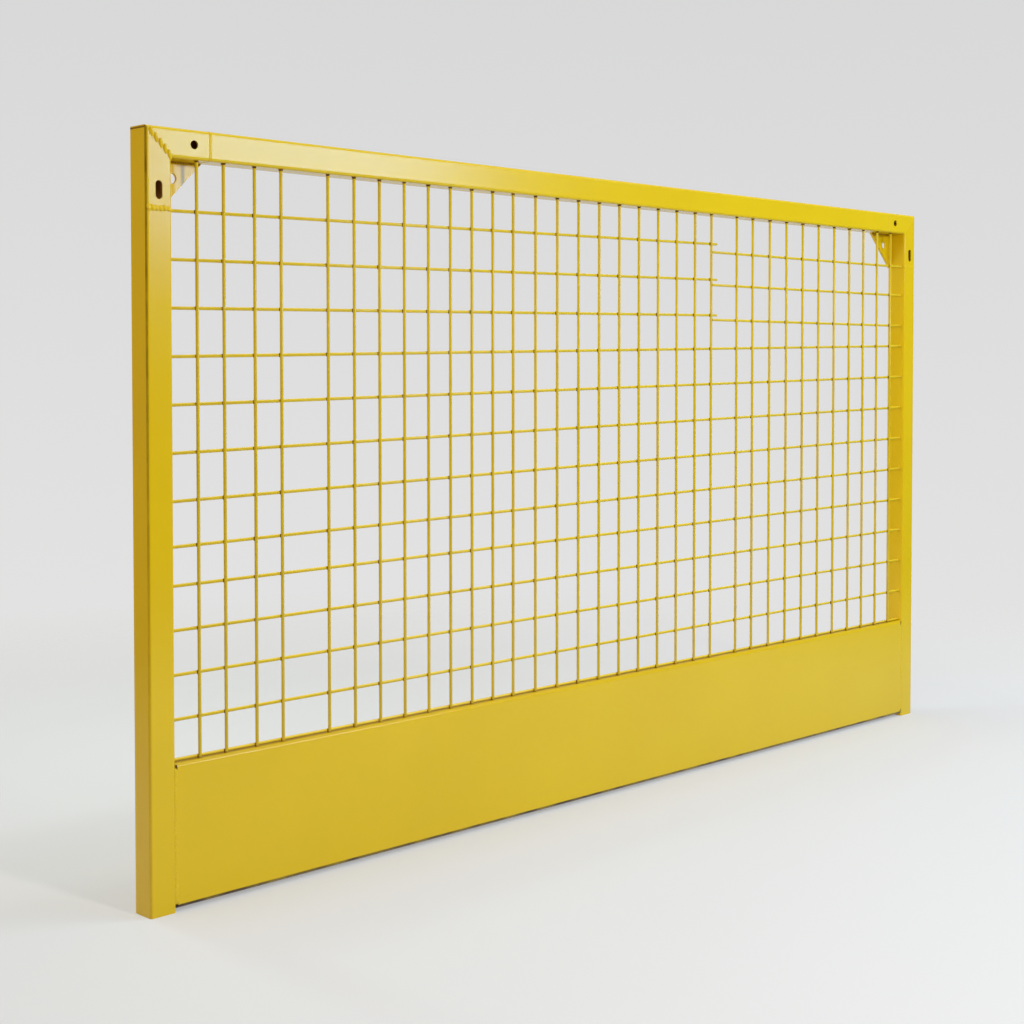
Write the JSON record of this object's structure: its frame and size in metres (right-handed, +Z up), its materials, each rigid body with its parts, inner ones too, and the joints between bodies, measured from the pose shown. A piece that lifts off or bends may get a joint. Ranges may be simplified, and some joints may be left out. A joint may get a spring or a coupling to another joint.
{
  "type": "edge protection barrier",
  "caption": "Yellow edge protection barrier: a mitred square-tube frame with gusseted corners, a wire mesh and a folded toe board.",
  "frame": {"origin": "middle of the left post's foot, on the underside of its cap", "axes": "+X along the barrier from the left post to the right one, +Y from the front to the back, +Z up"},
  "size_m": [1.954, 0.042, 1.1],
  "materials": {
    "frame_paint": "satin yellow powder coat",
    "mesh_paint": "satin yellow powder coat on wire",
    "toe_board_paint": "satin yellow powder coat on folded sheet"
  },
  "bodies": {
    "root": {"left_post": "frame_paint", "right_post": "frame_paint", "left_foot_cap": "frame_paint", "right_foot_cap": "frame_paint", "top_rail": "frame_paint", "left_corner_upright": "frame_paint", "right_corner_upright": "frame_paint", "left_corner_arm": "frame_paint", "right_corner_arm": "frame_paint", "left_gusset": "frame_paint", "right_gusset": "frame_paint", "toe_board": "toe_board_paint", "left_mesh": "mesh_paint", "right_mesh": "mesh_paint"}
  },
  "joints": []
}
